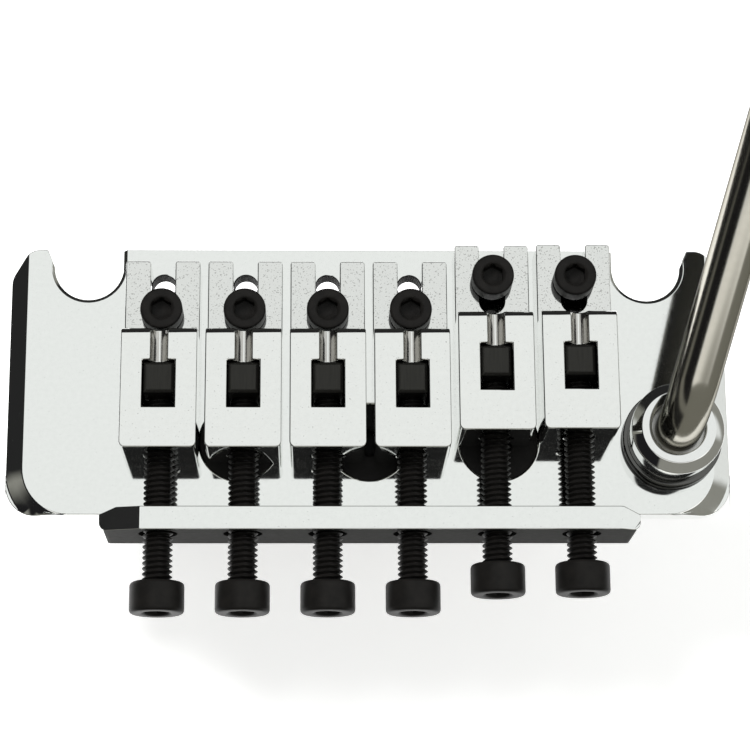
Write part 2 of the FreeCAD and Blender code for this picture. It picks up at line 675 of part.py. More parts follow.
os.makedirs("parts", exist_ok=True)
for piece in pieces:
    piece.Shape.exportStep(f"parts/{piece.Label}.step")
    box = piece.Shape.BoundBox
    print(f"{piece.Label}: {len(piece.Shape.Solids)} solid, {piece.Shape.Volume:.1f} mm3, x {box.XMin:.2f}"
          f" {box.XMax:.2f}, y {box.YMin:.2f} {box.YMax:.2f}, z {box.ZMin:.2f} {box.ZMax:.2f}")
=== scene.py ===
# %% [markdown]
# A locking tremolo bridge, dressed for its portrait.
# The bridge is a chromed steel plate that rocks on two posts in a guitar's top. Six saddles stand on it, each with
# a block that clamps its string and a long black screw that drives the block. A steel arm turns in a socket.
# The solids come from the frame at their real size, in metres. These cells give them eased edges, real threads
# and finishes, and then light them as in a small studio.

import json
import math

import bmesh
import bpy
from mathutils import Euler, Matrix, Vector


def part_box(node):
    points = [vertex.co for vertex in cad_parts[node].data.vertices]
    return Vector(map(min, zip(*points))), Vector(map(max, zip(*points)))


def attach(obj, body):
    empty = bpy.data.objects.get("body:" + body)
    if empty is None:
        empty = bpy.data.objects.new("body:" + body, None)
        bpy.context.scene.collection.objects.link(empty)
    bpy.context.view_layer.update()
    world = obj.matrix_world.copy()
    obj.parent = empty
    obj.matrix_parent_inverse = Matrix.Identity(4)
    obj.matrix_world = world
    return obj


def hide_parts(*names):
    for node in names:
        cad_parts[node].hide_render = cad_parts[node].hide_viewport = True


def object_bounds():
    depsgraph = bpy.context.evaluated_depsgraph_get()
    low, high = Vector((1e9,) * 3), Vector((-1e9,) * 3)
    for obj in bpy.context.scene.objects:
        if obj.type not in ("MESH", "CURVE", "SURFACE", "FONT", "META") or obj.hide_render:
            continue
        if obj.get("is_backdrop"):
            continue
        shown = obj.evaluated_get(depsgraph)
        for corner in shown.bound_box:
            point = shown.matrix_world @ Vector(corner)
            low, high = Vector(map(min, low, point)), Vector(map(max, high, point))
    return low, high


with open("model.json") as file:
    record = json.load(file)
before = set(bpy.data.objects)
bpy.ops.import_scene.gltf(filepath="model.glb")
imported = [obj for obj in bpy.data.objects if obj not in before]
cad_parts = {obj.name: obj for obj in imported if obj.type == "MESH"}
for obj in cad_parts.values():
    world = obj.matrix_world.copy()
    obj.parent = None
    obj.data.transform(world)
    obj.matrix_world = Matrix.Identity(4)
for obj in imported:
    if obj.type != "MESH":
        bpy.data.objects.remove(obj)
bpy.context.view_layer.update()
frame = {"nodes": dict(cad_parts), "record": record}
record = frame["record"]
BODY_OF = {node: body for body, nodes in record["behaviour"]["bodies"].items() for node in nodes}
MM = 0.001
STRINGS = range(1, 7)

# %% [markdown]
# ## Sizes
# A piece's place and outer size are read from its solid's box in the frame. What a box doesn't tell, such as a
# thread's pitch or how far a pocket lies behind its crest, is named here, in millimetres and degrees.

# %% Sizes that the boxes don't give
LOCK_SCREW = {"thread_radius": 2.0, "pitch": 0.7, "head_radius": 3.5, "head_height": 4.0,
              "key": 3.0, "key_depth": 2.2, "edge": 0.55}
HOLD_SCREW = {"thread_radius": 1.5, "pitch": 0.5, "head_radius": 2.75, "head_height": 3.0,
              "key": 2.5, "key_depth": 1.6, "edge": 0.4}
THREAD_ALLOWANCE = 0.05
SEAT_ALLOWANCE = 0.02

# A reach is the distance from its axis within which a face or an edge belongs to a hole, a groove or a pocket.
PRONG_LENGTH = 10.7
POCKET_BEHIND_CREST = 4.4
POCKET_REACH = 3
GROOVE_REACH = 1.1
GROOVE_BOTTOM = 6
TAPPED_HOLE_ROWS = (-2.8, -7.5)
TAPPED_HOLE_REACH = 1.75
LIP_HOLE_REACH = 3
LIP_FACETS_BOTTOM = 5

ARM_RADIUS = 3.0
ARM_BENDS = {"riser": 8.0, "bend_radius": 7.5, "slope": 22.0, "run": 52.0,
             "knee_radius": 60.0, "knee_turn": 24.0, "handle": 60.0}
ARM_HEADING = 90 - 15.9
ARM_TIP_RADIUS = 2.6
RING_GROOVE_DEPTH = 0.4
BUSH_BORE = ARM_RADIUS + 0.03
BUSH_RADIUS = 4.03
SOCKET_RADIUS = 5.03
SOCKET_NUT_BORE = SOCKET_RADIUS + 0.05
FLANGE_HEIGHT = 1.6
LEAD_HOLE = 3.5

# %% [markdown]
# ## The camera
# The picture is taken from above and a little behind the bridge, through a long lens that is almost free of
# perspective. Its place was found by matching the saddles' corners and the two pivot notches, whose sizes are
# known, so nothing has to be shifted or cropped afterwards.

# %% Camera
camera_data = bpy.data.cameras.new("camera")
camera_data.sensor_width = 36
camera_data.lens = 116.9
camera = bpy.data.objects.new("camera", camera_data)
camera.location = Vector((-7.32, -97.46, 310.43)) * MM
camera.rotation_euler = Euler([math.radians(angle) for angle in (14.890, -1.428, -0.293)])
bpy.context.scene.collection.objects.link(camera)
bpy.context.scene.camera = camera
camera_data.clip_start = 0.01
print("camera at", tuple(round(place / MM) for place in camera.location), "mm")

# %% [markdown]
# ## Node trees as Python expressions
# Finishes and turned pieces are node trees. Wiring them link by link is hard to read, so one small class wraps a
# socket: an expression such as `1 - speck * 0.3` then adds the Math nodes that it needs.


# %% A socket with Python's operators, and a tree that makes nodes
class Wire:
    """An output socket, on which Python's operators add Math nodes."""

    def __init__(self, tree, socket):
        self.tree = tree
        self.socket = socket

    def out(self, name):
        """Another output of the same node."""
        return Wire(self.tree, self.socket.node.outputs[name])

    def math(self, operation, *others):
        return self.tree.math(operation, self, *others)

    def __add__(self, other):
        return self.math("ADD", other)

    def __sub__(self, other):
        return self.math("SUBTRACT", other)

    def __mul__(self, other):
        return self.math("MULTIPLY", other)

    def __truediv__(self, other):
        return self.math("DIVIDE", other)

    def __rsub__(self, other):
        return self.tree.math("SUBTRACT", other, self)

    def __rtruediv__(self, other):
        return self.tree.math("DIVIDE", other, self)

    __radd__ = __add__
    __rmul__ = __mul__


class Tree:
    """A node tree that is filled by calls and expressions."""

    def __init__(self, node_tree):
        self.node_tree = node_tree

    def node(self, kind, settings=None, sockets=None):
        """Add a node, with its settings first and then the values or links of its sockets."""
        made = self.node_tree.nodes.new(kind)
        for name, setting in (settings or {}).items():
            setattr(made, name, setting)
        for name, given in (sockets or {}).items():
            found = made.inputs[name] if isinstance(name, int) else next(
                socket for socket in made.inputs if socket.enabled and socket.name == name)
            if isinstance(given, Wire):
                self.node_tree.links.new(given.socket, found)
            else:
                found.default_value = given
        return Wire(self, next((socket for socket in made.outputs if socket.enabled), None))

    def math(self, operation, *terms):
        return self.node("ShaderNodeMath", {"operation": operation}, dict(enumerate(terms)))

    def ramp(self, value, low, high):
        """0 on low's side and 1 on high's side, whichever is the larger, with soft ends."""
        return self.node("ShaderNodeMapRange", {"interpolation_type": "SMOOTHSTEP"},
                         {"Value": value, "From Min": low, "From Max": high})

    def tint(self, share, first, second):
        """A colour between two, by share."""
        return self.node("ShaderNodeMix", {"data_type": "RGBA"}, {"Factor": share, "A": first, "B": second})


def colour(red, green, blue):
    return (red, green, blue, 1)


# %% [markdown]
# ## Finishes
# Chrome has almost no colour of its own: it is a mirror, so what shows is the room. What tells it from a perfect
# mirror is the plating's fine waviness, tiny pits and a haze of polishing marks. All patterns are set in object
# space at the size they have on the metal, about 0.1 to 5 mm.


# %% Chrome, steel, black oxide and nylon
def new_finish(name):
    """An empty material, the tree to fill and the place on the piece."""
    material = bpy.data.materials.new(f"finish_{name}")
    material.use_nodes = True
    material.node_tree.nodes.clear()
    tree = Tree(material.node_tree)
    place = tree.node("ShaderNodeTexCoord").out("Object")
    return material, tree, place


def noise(tree, place, size, detail, squeeze=(1, 1, 1)):
    """Noise whose blotches are about size wide, in metres, drawn out along an axis by squeeze."""
    scaled = tree.node("ShaderNodeVectorMath", {"operation": "MULTIPLY"}, {0: place, 1: squeeze})
    return tree.node("ShaderNodeTexNoise", None, {"Vector": scaled, "Scale": 1 / size, "Detail": detail})


def surface(tree, base, metallic, roughness, height, depth, **fixed):
    """Finish a tree with one Principled surface, and a bump of the given depth in metres."""
    bump = tree.node("ShaderNodeBump", None, {"Strength": 1.0, "Distance": depth, "Height": height})
    sockets = {"Base Color": base, "Metallic": metallic, "Roughness": roughness, "Normal": bump}
    sockets.update({name.replace("_", " "): value for name, value in fixed.items()})
    shader = tree.node("ShaderNodeBsdfPrincipled", None, sockets)
    tree.node("ShaderNodeOutputMaterial", None, {"Surface": shader})


def chrome(name, light, dark, pits, wave_depth, roughness=0.035, greyer_below=None, edge_light=1.0):
    """Mirror plating with faint waves, polishing haze and some share of tiny pits.

    Below the height greyer_below the plating is simply drawn greyer and more pitted. A low edge_light dims what it
    mirrors at a grazing angle."""
    material, tree, place = new_finish(name)
    waves = noise(tree, place, 3.5 * MM, 1)
    haze = noise(tree, place, 0.6 * MM, 4)
    grain = noise(tree, place, 0.22 * MM, 1)
    # Below a given height the plating is drawn greyer and more pitted, darker towards the bottom of the piece.
    greyer_share = 0.0
    if greyer_below is not None:
        fade = 0.1 * MM
        height = tree.node("ShaderNodeSeparateXYZ", None, {0: place}).out("Z")
        greyer_share = tree.ramp(height, greyer_below + fade, greyer_below - fade)
        grain = grain + greyer_share * 0.09
    speck = tree.ramp(grain, 0.80 - pits, 0.86 - pits)
    shade = tree.tint(speck * 0.55 + haze * 0.12 + greyer_share * 0.16, light, dark)
    surface(tree, shade, 1.0, roughness + haze * 0.05 + speck * 0.12, waves + speck * -0.25, wave_depth,
            Specular_Tint=colour(edge_light, edge_light, edge_light))
    return material


def black_oxide():
    """Oiled black oxide: nearly black, with a satin sheen that is paler where it rubs."""
    material, tree, place = new_finish("black_oxide")
    cloud = noise(tree, place, 1.2 * MM, 3)
    grain = noise(tree, place, 0.12 * MM, 2)
    shade = tree.tint(cloud, colour(0.004, 0.004, 0.004), colour(0.012, 0.011, 0.010))
    surface(tree, shade, 0.0, 0.34 + grain * 0.16, grain, 0.004 * MM, Specular_IOR_Level=0.13)
    return material


def dark_steel():
    """Hardened steel of the clamp blocks, ground lengthwise."""
    material, tree, place = new_finish("clamp_steel")
    lines = noise(tree, place, 0.25 * MM, 3, (1, 0.08, 1))
    shade = tree.tint(lines, colour(0.020, 0.020, 0.018), colour(0.045, 0.044, 0.040))
    surface(tree, shade, 0.8, 0.38 + lines * 0.14, lines, 0.004 * MM)
    return material


def brushed(name, light, dark, squeeze, roughness, metallic=1.0, specular=0.5):
    """Steel with milling or brushing lines along one axis. A dull oxide over it isn't metallic."""
    material, tree, place = new_finish(name)
    lines = noise(tree, place, 0.2 * MM, 4, squeeze)
    cloud = noise(tree, place, 5 * MM, 2)
    shade = tree.tint(lines * 0.7 + cloud * 0.3, light, dark)
    surface(tree, shade, metallic, roughness + lines * 0.12, lines, 0.006 * MM, Specular_IOR_Level=specular)
    return material


def nylon():
    """Natural nylon, a little waxy, painted dark brown as painted shade, since it shows only deep in the gap round the
    arm.
    """
    material, tree, place = new_finish("bush_nylon")
    cloud = noise(tree, place, 1.5 * MM, 2)
    # Painted shade: the dark brown stands for the shade down in the gap where the bush shows.
    shade = tree.tint(cloud, colour(0.14, 0.13, 0.10), colour(0.30, 0.28, 0.23))
    surface(tree, shade, 0.0, 0.45 + cloud * 0.1, cloud, 0.01 * MM, Specular_IOR_Level=0.3)
    return material


PLATE_CHROME = chrome("plate_chrome", colour(0.90, 0.915, 0.90), colour(0.40, 0.41, 0.40), pits=0.06,
                      wave_depth=0.0009 * MM)
# The saddles are drawn greyer and more pitted below 3.4 mm, which takes in their low prongs.
SADDLE_CHROME = chrome("saddle_chrome", colour(0.90, 0.912, 0.895), colour(0.36, 0.36, 0.35), pits=0.09,
                       wave_depth=0.0012 * MM, greyer_below=3.4 * MM)
COLLAR_CHROME = chrome("collar_chrome", colour(0.88, 0.89, 0.88), colour(0.45, 0.46, 0.45), pits=0.0,
                       wave_depth=0.0004 * MM)
# The socket's chrome is painted dark: painted shade under the collar and a painted reflection of its underside.
SOCKET_CHROME_PAINTED_SHADE = chrome("socket_chrome", colour(0.12, 0.12, 0.115), colour(0.06, 0.06, 0.06), pits=0.0,
                       wave_depth=0.0004 * MM, roughness=0.1, edge_light=0.3)
ARM_STEEL = chrome("arm_steel", colour(0.52, 0.505, 0.45), colour(0.34, 0.33, 0.29), pits=0.0,
                   wave_depth=0.0006 * MM, roughness=0.15, edge_light=0.15)
# The lip's back has real satin lines, but its near-black colour is painted shade, a painted reflection of a dark table
# in shadow.
LIP_SATIN_AND_PAINTED_SHADE = brushed("lip_satin", colour(0.055, 0.055, 0.052), colour(0.012, 0.012, 0.012), squeeze=(0.3, 1, 1),
                    roughness=0.5, metallic=0.0, specular=0.05)
# The walls of the holes are painted near-black: painted shade inside the holes.
THREAD_SATIN_AND_PAINTED_SHADE = brushed("thread_satin", colour(0.03, 0.03, 0.029), colour(0.01, 0.01, 0.01), squeeze=(1, 1, 6),
                       roughness=0.5, metallic=0.0, specular=0.05)
GROOVE_SATIN = brushed("groove_satin", colour(0.74, 0.73, 0.70), colour(0.40, 0.39, 0.37), squeeze=(3, 0.3, 1),
                       roughness=0.12)
BLOCK_STEEL = brushed("block_steel", colour(0.62, 0.62, 0.61), colour(0.42, 0.42, 0.41), squeeze=(0.05, 1, 1),
                      roughness=0.26)
NUT_STEEL = brushed("nut_steel", colour(0.66, 0.66, 0.64), colour(0.46, 0.46, 0.45), squeeze=(1, 1, 0.1),
                    roughness=0.24)
BLACK_OXIDE = black_oxide()
CLAMP_STEEL = dark_steel()
NYLON_PAINTED_SHADE = nylon()
print("finishes:", [material.name for material in bpy.data.materials])

# %% [markdown]
# ## Eased edges
# No machined edge is perfectly sharp. The plating rounds it by a tenth of a millimetre or two, and that narrow
# band is what catches a dark or a bright line all round each piece. A CAD solid's mesh is loose triangles, so a
# copy is merged first, its flat faces are joined again, and a Bevel modifier then rounds what is left. Where three
# rounded edges meet, a corner could swell a little, so each piece is held within its solid's box at the end.


# %% Finish a piece and hand it to its body
MERGE_WITHIN = 0.0002 * MM
FLAT_WITHIN = 0.4
FACET_BEND = 8
EDGE_BEND = 26
WIDEST_ROUNDING = 0.6 * MM
ALONG_AXIS = 0.99


def centre(node):
    """The middle of a solid's box."""
    low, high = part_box(node)
    return (low + high) / 2


def hand_over(piece, *nodes):
    """Let a finished piece stand for its solids and ride on their body."""
    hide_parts(*nodes)
    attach(piece, BODY_OF[nodes[0]])
    return piece


def new_piece(name, mesh):
    """An object with this mesh, in the scene."""
    piece = bpy.data.objects.new(name, mesh)
    bpy.context.scene.collection.objects.link(piece)
    return piece


def as_mesh(piece):
    """Turn what the modifiers make into the piece's own mesh."""
    graph = bpy.context.evaluated_depsgraph_get()
    piece_mesh = bpy.data.meshes.new_from_object(piece.evaluated_get(graph), preserve_all_data_layers=True,
                                                 depsgraph=graph)
    piece.modifiers.clear()
    piece.data = piece_mesh


def smooth(mesh, sharp_angle):
    """Shade a mesh smooth, apart from edges that bend by more than sharp_angle degrees."""
    mesh.shade_smooth()
    mesh.set_sharp_from_angle(angle=math.radians(sharp_angle))


def merged_copy(node, name):
    """A copy of a solid's mesh with its doubles merged and its flat faces joined."""
    mesh = bpy.data.meshes.new(name)
    shape = bmesh.new()
    shape.from_mesh(frame["nodes"][node].data)
    bmesh.ops.remove_doubles(shape, verts=shape.verts, dist=MERGE_WITHIN)
    bmesh.ops.dissolve_limit(shape, angle_limit=math.radians(FLAT_WITHIN), verts=shape.verts, edges=shape.edges)
    shape.to_mesh(mesh)
    shape.free()
    return new_piece(name, mesh)


def eased(node, material, width, name, wider=None):
    """A solid with its sharp edges rounded by width.

    A function wider may give another width for an edge's middle and direction, also where the edge is blunt. A width
    of 0 leaves the edge sharp. Blunter bends than FACET_BEND are facets of a curve."""
    piece = merged_copy(node, name)
    piece.data.materials.clear()
    piece.data.materials.append(material)
    shape = bmesh.new()
    shape.from_mesh(piece.data)
    weight = shape.edges.layers.float.new("bevel_weight_edge")
    for edge in shape.edges:
        bend = math.degrees(edge.calc_face_angle()) if edge.is_manifold else 0
        if bend < FACET_BEND:
            continue
        first, last = (vertex.co for vertex in edge.verts)
        own = wider((first + last) / 2, (last - first).normalized()) if wider else None
        if own is not None or bend > EDGE_BEND:
            edge[weight] = (width if own is None else own) / WIDEST_ROUNDING
            edge.smooth = edge[weight] > 0
    shape.to_mesh(piece.data)
    shape.free()
    piece.data.shade_smooth()
    rounding = piece.modifiers.new("rounding", "BEVEL")
    rounding.width = WIDEST_ROUNDING
    rounding.segments = 3
    rounding.limit_method = "WEIGHT"
    rounding.use_clamp_overlap = False
    flat = piece.modifiers.new("flat_faces_stay_flat", "WEIGHTED_NORMAL")
    flat.weight = 100
    flat.keep_sharp = True
    as_mesh(piece)
    low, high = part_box(node)
    for vertex in piece.data.vertices:
        vertex.co = [min(max(place, least), most) for place, least, most in zip(vertex.co, low, high)]
    return hand_over(piece, node)


# %% [markdown]
# Not every edge is alike. The undersides of the saddles are ground flat and keep sharp edges, while the corners of
# their prongs and pockets are rounder. The rims of the holes in the lip are sharp too. The sides of each saddle's
# string groove have worn to a satin, so those few faces get a finish of their own.


# %% Plate, saddles, clamp blocks and sustain block
def saddle_edges(node):
    """The prongs' front corners and the pocket's corners are rounder, and the ground underside is left sharp."""
    low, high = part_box(node)
    middle_x = (low.x + high.x) / 2
    pocket_front = high.y - (PRONG_LENGTH + POCKET_BEHIND_CREST) * MM
    margin = 0.1 * MM

    def wider(middle, along):
        if middle.z < margin / 2:
            return 0
        if abs(along.z) < ALONG_AXIS:
            return None
        if middle.y > high.y - margin:
            return 0.4 * MM
        if middle.y < pocket_front + margin and abs(middle.x - middle_x) < POCKET_REACH * MM:
            return 0.3 * MM
        return None

    return wider


LOCK_AXES = [centre(f"lock_screw_{string}") for string in STRINGS]


def plate_edges(middle, along):
    """The rims of the lip's holes are left sharp, and the shallow edges of its end facets get a narrow rounding."""
    near = min(math.hypot(middle.x - axis.x, middle.z - axis.z) for axis in LOCK_AXES)
    if near < LIP_HOLE_REACH * MM and middle.z > 0:
        return 0
    return 0.08 * MM if abs(along.y) > ALONG_AXIS and middle.z > LIP_FACETS_BOTTOM * MM else None


def is_groove_side(face, string_x):
    """Whether a saddle's face belongs to its string groove, and isn't part of the flat top or a front or rear edge."""
    near = abs(face.center.x - string_x) < GROOVE_REACH * MM and face.center.z > GROOVE_BOTTOM * MM
    return near and face.normal.z < 0.9999 and abs(face.normal.y) < 0.02


plate = eased("base_plate", PLATE_CHROME, 0.13 * MM, "chromed_plate", plate_edges)
for string in STRINGS:
    saddle = eased(f"saddle_{string}", SADDLE_CHROME, 0.17 * MM, f"chromed_saddle_{string}",
                   saddle_edges(f"saddle_{string}"))
    saddle.data.materials.append(GROOVE_SATIN)
    string_x = sum(corner.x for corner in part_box(f"saddle_{string}")) / 2
    for face in saddle.data.polygons:
        face.material_index = int(is_groove_side(face, string_x))
    eased(f"clamp_block_{string}", CLAMP_STEEL, 0.12 * MM, f"ground_clamp_{string}")
eased("sustain_block", BLOCK_STEEL, 0.2 * MM, "milled_block")
print("plate:", len(plate.data.polygons), "faces")

# %% [markdown]
# The back of the lip isn't mirror-bright like the rest: it was left satin, with fine lines along its length. Its
# near-black colour is painted shade, a painted reflection of a dark table in shadow. The walls of the twelve tapped
# holes in the plate and of the holes in the lip are dull, and painted near-black as painted shade in the holes. All
# this is the same piece, so only these faces get another finish.


# %% Satin back of the lip and walls of the holes, painted dark as shade
TAPPED_HOLES = [(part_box(f"hold_down_screw_{string}")[0].x + HOLD_SCREW["head_radius"] * MM, row * MM)
                for string in STRINGS for row in TAPPED_HOLE_ROWS]
LIP_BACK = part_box("base_plate")[0].y


def is_lip_back(face):
    return face.normal.y < -0.9 and face.center.y < LIP_BACK + 0.2 * MM


def is_hole_wall(face):
    """Whether a face of the plate lies in one of its tapped holes or in a hole of the lip."""
    nearest = min(math.hypot(face.center.x - x, face.center.y - y) for x, y in TAPPED_HOLES)
    if face.center.z < 0.1 * MM and nearest < TAPPED_HOLE_REACH * MM:
        return True
    return abs(face.normal.y) < 0.5 and plate_edges(face.center, face.normal) == 0


plate.data.materials.append(LIP_SATIN_AND_PAINTED_SHADE)
plate.data.materials.append(THREAD_SATIN_AND_PAINTED_SHADE)
for face in plate.data.polygons:
    if is_lip_back(face):
        face.material_index = 1
    elif is_hole_wall(face):
        face.material_index = 2
print("faces of each finish:", [sum(face.material_index == slot for face in plate.data.polygons)
                                for slot in range(3)])

# %% [markdown]
# ## Turned pieces
# Screws, nuts, bushes and the collar are all made on a lathe, so one Geometry Nodes tree makes them all. A short
# profile, drawn as radius and height, is wrapped round the axis. Two numbers ride on each of its points: `key`
# makes the wall there six-sided, for a key or a spanner, and `thread` winds a V-groove round it. A thread is
# then real geometry, so it also shows in the outline, as it does on the long screws.


# %% The tree that turns a profile
def new_tree(name, inputs):
    """An empty Geometry Nodes tree with named inputs."""
    node_tree = bpy.data.node_groups.new(name, "GeometryNodeTree")
    for title, kind in (("Geometry", "Geometry"), *inputs):
        node_tree.interface.new_socket(name=title, in_out="INPUT", socket_type=f"NodeSocket{kind}")
    node_tree.interface.new_socket(name="Geometry", in_out="OUTPUT", socket_type="NodeSocketGeometry")
    tree = Tree(node_tree)
    return tree, tree.node("NodeGroupInput")


def finish_tree(tree, geometry, given):
    """End a tree with plain geometry in one material."""
    solid = tree.node("GeometryNodeRealizeInstances", None, {"Geometry": geometry})
    coated = tree.node("GeometryNodeSetMaterial", None, {"Geometry": solid, "Material": given.out("Material")})
    tree.node("NodeGroupOutput", None, {"Geometry": coated})
    return tree.node_tree


def turning_tree():
    """Wrap a profile round Z. The thread is a V with small flats at its crest and its root."""
    tree, given = new_tree("turned_piece", [("Around", "Int"), ("Pitch", "Float"), ("Thread Depth", "Float"),
                                            ("Material", "Material")])
    profile = given.out("Geometry")
    stations = tree.node("GeometryNodeAttributeDomainSize", {"component": "MESH"}, {"Geometry": profile})
    sheet = tree.node("GeometryNodeMeshGrid", None, {"Size X": 1.0, "Size Y": 1.0,
                                                     "Vertices X": given.out("Around") + 1, "Vertices Y": stations})
    flat = tree.node("ShaderNodeSeparateXYZ", None, {0: tree.node("GeometryNodeInputPosition")})
    turn = (flat.out("X") + 0.5) * math.tau
    station = ((flat.out("Y") + 0.5) * (stations - 1)).math("ROUND")

    def from_profile(kind, source):
        return tree.node("GeometryNodeSampleIndex", {"data_type": kind},
                         {"Geometry": profile, "Value": source, "Index": station})

    def number(name):
        return from_profile("FLOAT", tree.node("GeometryNodeInputNamedAttribute", {"data_type": "FLOAT"},
                                               {"Name": name}))

    spot = tree.node("ShaderNodeSeparateXYZ", None,
                     {0: from_profile("FLOAT_VECTOR", tree.node("GeometryNodeInputPosition"))})
    radius = spot.out("X")
    height = spot.out("Z")
    sixth = math.pi / 3
    from_flat = ((turn + sixth / 2).math("MODULO", sixth) - sixth / 2).math("COSINE")
    radius = radius * (1 + number("key") * (1 / from_flat - 1))
    wave = ((height / given.out("Pitch") - turn / math.tau).math("FRACT") * 2 - 1).math("ABSOLUTE")
    groove = (1.15 - wave * 1.3).math("MAXIMUM", 0).math("MINIMUM", 1)
    radius = radius - groove * given.out("Thread Depth") * number("thread")
    place = tree.node("ShaderNodeCombineXYZ", None, {"X": radius * turn.math("COSINE"),
                                                     "Y": radius * turn.math("SINE"), "Z": height})
    wrapped = tree.node("GeometryNodeSetPosition", None, {"Geometry": sheet, "Position": place})
    closed = tree.node("GeometryNodeMergeByDistance", None, {"Geometry": wrapped, "Distance": 0.0005 * MM})
    return finish_tree(tree, closed, given)


TURNING = turning_tree()
LARGEST_SHARE = 0.45


def set_inputs(modifier, **values):
    """Set a modifier's inputs by their sockets' identifiers."""
    for socket in modifier.node_group.interface.items_tree:
        if socket.in_out == "INPUT" and socket.name.replace(" ", "_") in values:
            modifier[socket.identifier] = values[socket.name.replace(" ", "_")]


def softened(corners, edge):
    """A profile with its corners rounded. A corner is (radius, height) or (radius, height, key, thread).

    A rounding takes less than half of each side, so two of them never meet."""
    stations = []
    for number, corner in enumerate(corners):
        spot = Vector(corner[:2])
        marks = tuple(corner[2:]) or (0, 0)
        ends = [Vector(corners[near][:2]) for near in (number - 1, number + 1) if 0 <= near < len(corners)]
        if len(ends) < 2 or spot.x == 0:
            stations.append((*spot, *marks))
            continue
        into, away = ((end - spot) for end in ends)
        reach = min(edge, *(side.length * LARGEST_SHARE for side in (into, away)))
        first = spot + into.normalized() * reach
        last = spot + away.normalized() * reach
        for share in (0, 0.25, 0.5, 0.75, 1):
            bend = first * (1 - share) ** 2 + spot * 2 * share * (1 - share) + last * share ** 2
            stations.append((*bend, *marks))
    return stations


def line_mesh(name, points, **attributes):
    """One line through points given in millimetres, with the numbers that ride on them."""
    mesh = bpy.data.meshes.new(name)
    mesh.from_pydata([Vector(point) * MM for point in points], [(at, at + 1) for at in range(len(points) - 1)], [])
    for attribute, numbers in attributes.items():
        mesh.attributes.new(attribute, "FLOAT", "POINT").data.foreach_set("value", list(map(float, numbers)))
    return mesh


def turned(name, stations, material, place, around=96, pitch=1.0, thread_depth=0.0):
    """A lathe-turned piece, in millimetres along its own axis and then put in its place."""
    radii, levels, keys, threads = zip(*stations)
    piece = new_piece(name, line_mesh(name, [(radius, 0, level) for radius, level in zip(radii, levels)],
                                      key=keys, thread=threads))
    lathe = piece.modifiers.new("lathe", "NODES")
    lathe.node_group = TURNING
    set_inputs(lathe, Around=around, Pitch=pitch * MM, Thread_Depth=thread_depth * MM, Material=material)
    as_mesh(piece)
    shape = bmesh.new()
    shape.from_mesh(piece.data)
    if shape.calc_volume(signed=True) < 0:
        bmesh.ops.reverse_faces(shape, faces=shape.faces)
    shape.transform(place)
    shape.to_mesh(piece.data)
    shape.free()
    smooth(piece.data, sharp_angle=32)
    return piece


# %% [markdown]
# ## Screws
# All screws are socket screws with metric threads. The long ones are M4 with 7 mm heads and lie along the
# strings, the short ones M3 with 5.5 mm heads and stand upright. A screw's place and length are read from its
# solid, so that each stays exactly where the frame has it. A real thread is cut a few hundredths of a millimetre
# under its nominal size, and heads and tips get a still smaller allowance where they bear on another piece.


# %% Socket screws
ROWS_PER_TURN = 8
THREAD_DEPTH_SHARE = 0.61


def thread_stations(radius, top, bottom, pitch, thread_depth):
    """A threaded shank from its top down to a chamfered end, closed at both poles. It runs out over one pitch."""
    rows = round((top - bottom) / pitch * ROWS_PER_TURN)
    stations = [(0, top, 0, 0)]
    for row in range(rows + 1):
        height = top + (bottom - top) * row / rows
        depth = min(1, (height - bottom) / pitch)
        chamfer = thread_depth * (1 - depth)
        stations.append((radius - chamfer, height, 0, depth))
    stations.append((0, bottom, 0, 0))
    return stations


def head_stations(radius, height, key, key_depth, edge):
    """A cylindrical head from its underside up and down into its six-sided socket, which ends in a drill's cone."""
    socket_rim, drill_radius, drill_cone = key * 0.64, key * 0.3, key * 0.2
    outside = softened([(0, SEAT_ALLOWANCE), (radius, SEAT_ALLOWANCE), (radius, height * 0.55), (radius, height),
                        (socket_rim, height), (key / 2, height - edge, 1, 0)], edge)
    socket = [(key / 2, height - key_depth, 1, 0), (drill_radius, height - key_depth - 0.1, 0, 0),
              (0, height - key_depth - drill_cone, 0, 0)]
    return outside + socket


def socket_screw(node, name, axis, thread_radius, pitch, head_radius, head_height, key, key_depth, edge):
    """A socket screw in the place of its solid, whose head is at the low end of Y or the high end of Z."""
    low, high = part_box(node)
    middle = centre(node)
    if axis == "Y":
        length = (high.y - low.y) / MM - head_height
        under_head = Vector((middle.x, low.y + head_height * MM, middle.z))
        place = Matrix.Translation(under_head) @ Matrix.Rotation(math.radians(90), 4, "X")
    else:
        length = (high.z - low.z) / MM - head_height
        place = Matrix.Translation((middle.x, middle.y, high.z - head_height * MM))
    thread_depth = THREAD_DEPTH_SHARE * pitch
    thread = thread_stations(thread_radius - THREAD_ALLOWANCE, head_height * 0.2, SEAT_ALLOWANCE - length, pitch,
                             thread_depth)
    shank = turned(name, thread, BLACK_OXIDE, place, around=32, pitch=pitch, thread_depth=thread_depth)
    head = turned("head", head_stations(head_radius, head_height, key, key_depth, edge), BLACK_OXIDE, place)
    whole = bmesh.new()
    whole.from_mesh(shank.data)
    whole.from_mesh(head.data)
    whole.to_mesh(shank.data)
    whole.free()
    bpy.data.objects.remove(head)
    return hand_over(shank, node)


for string in STRINGS:
    screw = socket_screw(f"lock_screw_{string}", f"threaded_lock_screw_{string}", "Y", **LOCK_SCREW)
    socket_screw(f"hold_down_screw_{string}", f"threaded_hold_down_screw_{string}", "Z", **HOLD_SCREW)
print("lock screw:", len(screw.data.polygons), "faces,", [round(side / MM, 1) for side in screw.dimensions], "mm")

# %% [markdown]
# The three screws that hold the sustain block are countersunk: a flat head that tapers at 90 degrees into the
# plate. They are one group in the frame, so their meshes are joined into one piece.


